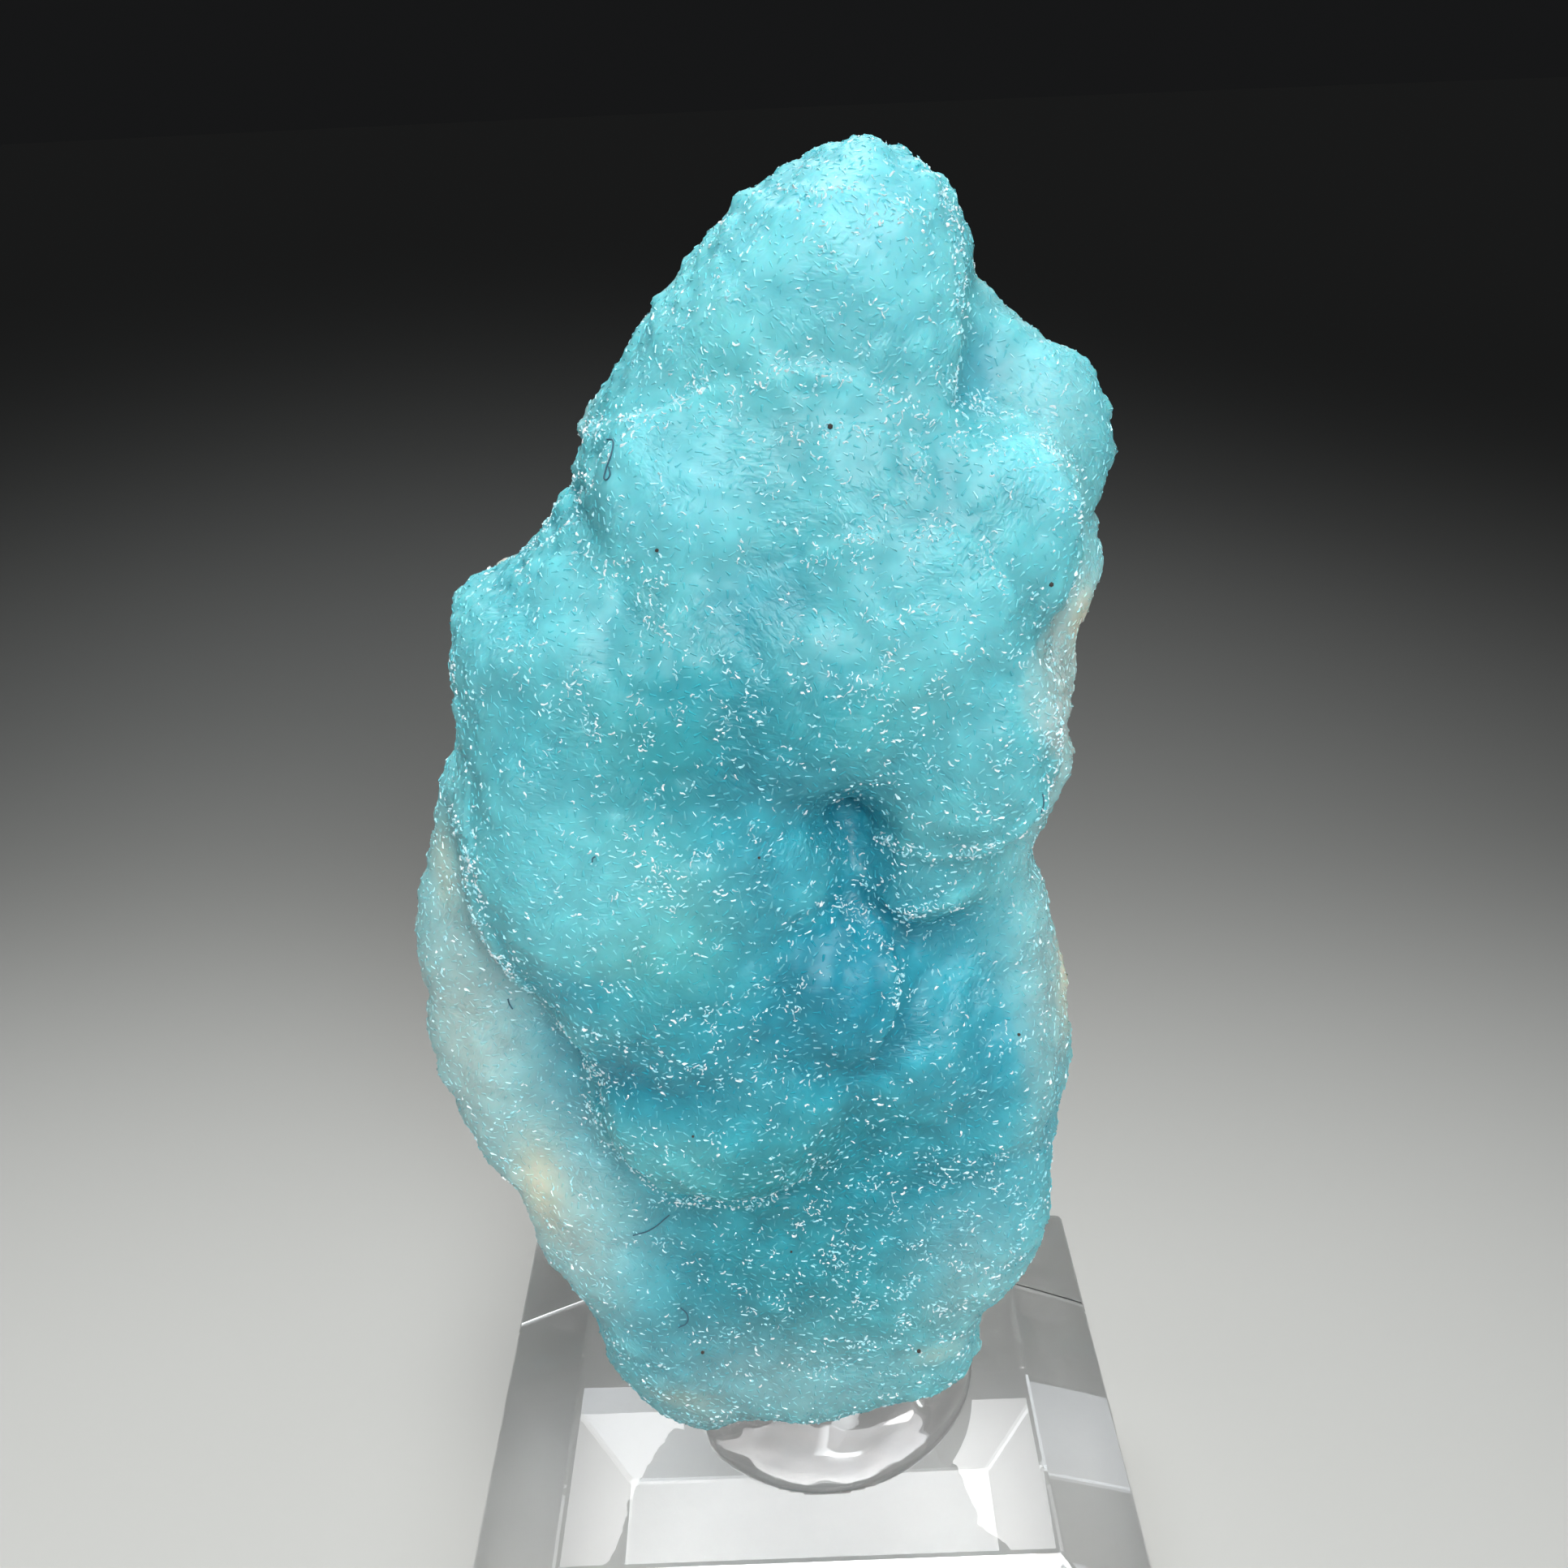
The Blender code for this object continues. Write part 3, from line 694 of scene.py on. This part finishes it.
def noise(tree, scale, detail=2.0, rough=0.5):
    """Soft noise whose spots are about as wide as its scale."""
    place = tree.nodes.new("ShaderNodeTexCoord")
    node = tree.nodes.new("ShaderNodeTexNoise")
    node.inputs["Scale"].default_value = 1.0 / (scale * MM)
    node.inputs["Detail"].default_value = detail
    node.inputs["Roughness"].default_value = rough
    tree.links.new(place.outputs["Object"], node.inputs["Vector"])
    return node.outputs["Fac"]


def bump(tree, height, distance):
    """Shaded relief from a height between 0 and 1."""
    node = tree.nodes.new("ShaderNodeBump")
    node.inputs["Distance"].default_value = distance * MM
    node.inputs["Strength"].default_value = 1.0
    tree.links.new(height, node.inputs["Height"])
    return node.outputs["Normal"]


def remap(tree, value, low, high, most=1.0):
    """Turns the range from low to high into the range from 0 to most."""
    node = tree.nodes.new("ShaderNodeMapRange")
    node.inputs["From Min"].default_value = low
    node.inputs["From Max"].default_value = high
    node.inputs["To Max"].default_value = most
    tree.links.new(value, node.inputs["Value"])
    return node.outputs["Result"]


def druse_colour(tree):
    """The crust's colour, from the attributes that every piece of it carries: its own colour with
    painted shade in hollows, pockets, under lumps and low down, and painted light on the peak and
    brow.
    """
    body = colour_ramp(tree, attribute(tree, "blue_shade_and_light"), [
        (0.0, (0.010, 0.25, 0.35)), (0.25, (0.045, 0.37, 0.47)), (0.5, (0.135, 0.54, 0.60)),
        (0.75, (0.20, 0.72, 0.80)), (1.0, (0.30, 0.88, 0.94))])
    green = mix(tree, 1.0, body, (0.92, 1.0, 0.88), "MULTIPLY")
    body = mix(tree, attribute(tree, "green"), body, green)
    body = mix(tree, attribute(tree, "pale"), body, (0.50, 0.64, 0.60))
    cloudy = remap(tree, noise(tree, 2.2, 4.0, 0.6), 0.42, 0.72)
    body = mix(tree, cloudy, body, (0.62, 0.80, 0.82), "SOFT_LIGHT")
    body = mix(tree, attribute(tree, "warm"), body, (0.86, 0.84, 0.62))
    stone = colour_ramp(tree, noise(tree, 5.0, 6.0, 0.65), [
        (0.30, (0.36, 0.62, 0.64)), (0.50, (0.62, 0.74, 0.70)),
        (0.62, (0.66, 0.60, 0.46)), (0.74, (0.40, 0.30, 0.18))])
    return mix(tree, attribute(tree, "behind"), body, stone)


def wrinkles(tree, turn, length, width):
    """Fine streaks that run along one direction of the front view."""
    place = tree.nodes.new("ShaderNodeTexCoord")
    lay = tree.nodes.new("ShaderNodeMapping")
    lay.vector_type = "TEXTURE"
    lay.inputs["Rotation"].default_value = (0.0, math.radians(turn), 0.0)
    lay.inputs["Scale"].default_value = (length * MM, width * MM, width * MM)
    grain = tree.nodes.new("ShaderNodeTexNoise")
    grain.inputs["Scale"].default_value = 1.0
    grain.inputs["Detail"].default_value = 1.0
    grain.inputs["Distortion"].default_value = 0.4
    tree.links.new(place.outputs["Object"], lay.inputs["Vector"])
    tree.links.new(lay.outputs["Vector"], grain.inputs["Vector"])
    return grain.outputs["Fac"]


def crust_material():
    """The druse: fine wrinkles in three directions over the crust's colour, with painted shade in
    the wrinkles' low parts.
    """
    material, tree, shader = shader_of("hemimorphite_druse")
    flow = remap(tree, noise(tree, 6.0, 1.0), 0.42, 0.52)
    turn = remap(tree, noise(tree, 4.0, 1.0), 0.50, 0.60)
    grain = mix(tree, flow, wrinkles(tree, 50.0, 0.5, 0.2), wrinkles(tree, 5.0, 0.5, 0.2))
    grain = mix(tree, turn, grain, wrinkles(tree, -55.0, 0.5, 0.2))
    calm = remap(tree, noise(tree, 2.6, 2.0), 0.40, 0.62)
    grain = mix(tree, calm, (0.5, 0.5, 0.5), grain)
    tree.links.new(bump(tree, grain, 0.10), shader.inputs["Normal"])
    # Painted shade: the low parts of the wrinkles darken the colour.
    fold_shade = colour_ramp(tree, grain, [(0.28, (0.78, 0.86, 0.90)), (0.44, (0.97, 0.98, 0.99)),
                                      (0.60, (1.0, 1.0, 1.0))])
    tree.links.new(mix(tree, 1.0, druse_colour(tree), fold_shade, "MULTIPLY"),
                   shader.inputs["Base Color"])
    shader.inputs["Roughness"].default_value = 0.5
    shader.inputs["IOR"].default_value = HEMIMORPHITE_IOR
    shader.inputs["Subsurface Weight"].default_value = 0.6
    shader.inputs["Subsurface Radius"].default_value = (0.25, 1.0, 1.2)
    shader.inputs["Subsurface Scale"].default_value = 2.0 * MM
    return material


def crystal_material(name, dull, clear, share, rough):
    """Small glassy crystals over the crust's colour: each has its own tone; a white clear tone
    paints glints.
    """
    material, tree, shader = shader_of(name)
    own = colour_ramp(tree, attribute(tree, "tone"), [(0.0, dull), (0.35, dull), (0.9, clear)])
    tree.links.new(mix(tree, share, druse_colour(tree), own), shader.inputs["Base Color"])
    shader.inputs["Roughness"].default_value = rough
    shader.inputs["IOR"].default_value = HEMIMORPHITE_IOR
    shader.inputs["Coat Weight"].default_value = 0.15
    shader.inputs["Coat Roughness"].default_value = 0.05
    return material


def acrylic_material():
    """Clear polished acrylic with faint scuffs."""
    material, tree, shader = shader_of("clear_acrylic_polished")
    shader.inputs["Base Color"].default_value = (0.99, 0.995, 1.0, 1.0)
    shader.inputs["IOR"].default_value = 1.49
    shader.inputs["Transmission Weight"].default_value = 1.0
    scuff = remap(tree, noise(tree, 3.0, 6.0, 0.7), 0.55, 0.8, 0.06)
    tree.links.new(scuff, shader.inputs["Roughness"])
    return material


def tack_material():
    """Clear gel with a slight pink tint and a glossy skin."""
    material, tree, shader = shader_of("clear_tack_gel")
    shader.inputs["Base Color"].default_value = (1.0, 0.985, 0.985, 1.0)
    shader.inputs["Roughness"].default_value = 0.02
    shader.inputs["IOR"].default_value = 1.16
    shader.inputs["Coat Weight"].default_value = 1.0
    shader.inputs["Coat IOR"].default_value = 1.5
    shader.inputs["Coat Roughness"].default_value = 0.03
    shader.inputs["Transmission Weight"].default_value = 1.0
    tree.links.new(bump(tree, noise(tree, 2.4, 1.0), 0.12), shader.inputs["Normal"])
    soak = tree.nodes.new("ShaderNodeVolumeAbsorption")
    soak.inputs["Color"].default_value = (0.93, 0.80, 0.84, 1.0)
    soak.inputs["Density"].default_value = 10.0
    tree.links.new(soak.outputs["Volume"], tree.nodes["Material Output"].inputs["Volume"])
    return material


def build_tack(crust):
    """The tack as smooth gel, pressed against the crust and onto the block."""
    tack = merged_copy("mineral_tack", "tack_gel")
    points = points_of(tack.data)
    seat = TACK_SEAT - TACK_OVERLAP
    points[:, 2] = np.where(points[:, 2] < TACK_SEAT + 0.4, seat, points[:, 2])
    for i, point in enumerate(points):
        found, hit, normal, _ = crust.closest_point_on_mesh(Vector(point) * MM)
        gap = (Vector(point) * MM - hit).length / MM
        if found and gap < TACK_REACH:
            points[i] = np.array(hit) / MM - TACK_SINK * np.array(normal)
    put_points(tack.data, points)
    remake_in_voxels(tack, TACK_VOXEL, TACK_ROUNDS)
    points = points_of(tack.data)
    points[:, 2] = np.where(points[:, 2] < TACK_SEAT + 0.12, seat, points[:, 2])
    put_points(tack.data, points)
    select_only(tack)
    bpy.ops.object.shade_smooth()
    return tack


def seen_on(crust, x, z):
    """Where the camera sees a point of the outline's plane on the crust, in metres."""
    eye = Vector(CAMERA_PLACE) * MM
    aim = (Vector((x, outline_depth(z), z)) * MM - eye).normalized()
    found, hit, normal, _ = crust.ray_cast(eye, aim)
    return hit + normal * DUST_LIFT * MM if found else None


def build_fibres(crust):
    """Thin dark dust fibres that lie on the druse."""
    curve = bpy.data.curves.new("dust_fibres", "CURVE")
    curve.dimensions = "3D"
    curve.bevel_depth = FIBRE_RADIUS * MM
    curve.bevel_resolution = 1
    curve.resolution_u = 6
    for line in FIBRES.values():
        places = [place for place in (seen_on(crust, x, z) for x, z in line) if place]
        spline = curve.splines.new("BEZIER")
        spline.bezier_points.add(len(places) - 1)
        for point, place in zip(spline.bezier_points, places):
            point.co = place
            point.handle_left_type = point.handle_right_type = "AUTO"
    select_only(new_object("dust_fibres", curve))
    bpy.ops.object.convert(target="MESH")
    return bpy.context.active_object


def build_specks(crust):
    """Small dark specks half sunk in the druse."""
    form = bmesh.new()
    for x, z, radius in SPECKS:
        place = seen_on(crust, x, z)
        if place:
            bmesh.ops.create_icosphere(form, subdivisions=1, radius=radius * MM,
                                       matrix=Matrix.Translation(place))
    mesh = bpy.data.meshes.new("dust_specks")
    form.to_mesh(mesh)
    form.free()
    return new_object("dust_specks", mesh)


def dust_material(name, colour):
    material, _, shader = shader_of(name)
    shader.inputs["Base Color"].default_value = (*colour, 1.0)
    shader.inputs["Roughness"].default_value = 0.7
    return material


def build_floor():
    """A wide sheet of pale paper under the block."""
    bpy.ops.object.select_all(action="DESELECT")
    bpy.ops.mesh.primitive_circle_add(vertices=96, radius=FLOOR_RADIUS, fill_type="NGON",
                                      location=(0.0, 0.0, -FLOOR_DROP))
    floor = bpy.context.active_object
    floor.name = "studio_floor"
    material, _, shader = shader_of("studio_paper")
    shader.inputs["Base Color"].default_value = (0.52, 0.52, 0.50, 1.0)
    shader.inputs["Roughness"].default_value = 0.9
    shader.inputs["Specular IOR Level"].default_value = 0.1
    floor.data.materials.append(material)


def area_light(name, place, aim, size, power, spread_angle, colour):
    """A flat lamp that faces its aim."""
    light = bpy.data.lights.new(name, "AREA")
    light.shape = "RECTANGLE"
    light.size, light.size_y = size
    light.energy = power
    light.color = colour
    light.spread = math.radians(spread_angle)
    lamp = new_object(name, light)
    away = (Vector(place) - Vector(aim)).normalized()
    across = Vector((0.0, 1.0, 0.0)).cross(away).normalized()
    lamp.matrix_world = Matrix((across, away.cross(across), away)).transposed().to_4x4()
    lamp.location = place


def build_lights():
    """Soft lamps above and in front, and faint fills, so that the floor fades
    from nearly white at the block to nearly black far behind it."""
    for name, settings in LAMPS.items():
        area_light(name, *settings)


def build_world():
    """A dim room: near black at the horizon and a little lighter overhead."""
    world = bpy.data.worlds.new("studio")
    bpy.context.scene.world = world
    world.use_nodes = True
    nodes, link = world.node_tree.nodes, world.node_tree.links.new
    place = nodes.new("ShaderNodeTexCoord")
    axes = nodes.new("ShaderNodeSeparateXYZ")
    rise = nodes.new("ShaderNodeMapRange")
    rise.inputs["From Min"].default_value = 0.05
    rise.inputs["From Max"].default_value = 0.35
    rise.inputs["To Min"].default_value = 0.0086
    rise.inputs["To Max"].default_value = 0.019
    link(place.outputs["Generated"], axes.inputs["Vector"])
    link(axes.outputs["Z"], rise.inputs["Value"])
    link(rise.outputs["Result"], nodes["Background"].inputs["Strength"])
    nodes["Background"].inputs["Color"].default_value = (0.97, 1.0, 1.04, 1.0)
    bpy.context.scene.view_settings.view_transform = "Standard"


def build_camera():
    """The camera, at the photograph's place."""
    data = bpy.data.cameras.new("camera")
    data.lens = CAMERA_LENS
    data.sensor_width = 36.0
    data.clip_start = 0.005
    camera = new_object("camera", data)
    turn = (Matrix.Rotation(math.radians(CAMERA_YAW), 4, "Z")
            @ Matrix.Rotation(math.radians(90.0 - CAMERA_PITCH), 4, "X")
            @ Matrix.Rotation(math.radians(CAMERA_ROLL), 4, "Z"))
    camera.matrix_world = Matrix.Translation(Vector(CAMERA_PLACE) * MM) @ turn
    bpy.context.scene.camera = camera


def set_material(piece, material):
    piece.data.materials.clear()
    piece.data.materials.append(material)


build_camera()
build_lights()
build_world()
build_floor()

crust = build_crust()
set_material(crust, crust_material())
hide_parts("hemimorphite")
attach(crust, "root")

grain = lying_crystal("grain", GRAIN_SIZE)
chip = lying_crystal("chip", TIP_SIZE, TIP_BEND)
druse = grow_crystals("druse_grains", crust, grain, GRAIN_SPACING, share="cover",
                      small=(0.6, 0.6, 0.6), large=(1.3, 1.2, 1.2), lean=0.25, seed=3,
                      ringed=False)
set_material(druse, crystal_material("druse_grains", dull=(0.05, 0.40, 0.50),
                                     clear=(0.45, 0.86, 0.90), share=0.25, rough=0.25))
# Tip crystals whose white clear tone is painted glints, crowded along growth lines and in rings
# and patches.
tips_and_glints = grow_crystals("druse_tips", crust, chip, TIP_SPACING, share="bright",
                     small=(0.25, 0.4, 0.5), large=(1.4, 1.4, 1.2), lean=0.6, seed=11,
                     ringed=True)
set_material(tips_and_glints, crystal_material("druse_tips", dull=(0.46, 0.86, 0.93),
                                    clear=(1.0, 1.0, 1.0), share=0.9, rough=0.12))
fibres = build_fibres(crust)
set_material(fibres, dust_material("dust_fibre", (0.05, 0.13, 0.18)))
specks = build_specks(crust)
set_material(specks, dust_material("dark_speck", (0.05, 0.035, 0.03)))
for piece in (druse, tips_and_glints, fibres, specks):
    put_points(piece.data, inside_box(points_of(piece.data)))
    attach(piece, "root")
for source in (grain, chip):
    bpy.data.objects.remove(source)

tack = build_tack(crust)
set_material(tack, tack_material())
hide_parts("mineral_tack")
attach(tack, "root")

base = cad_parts["acrylic_base"]
set_material(base, acrylic_material())
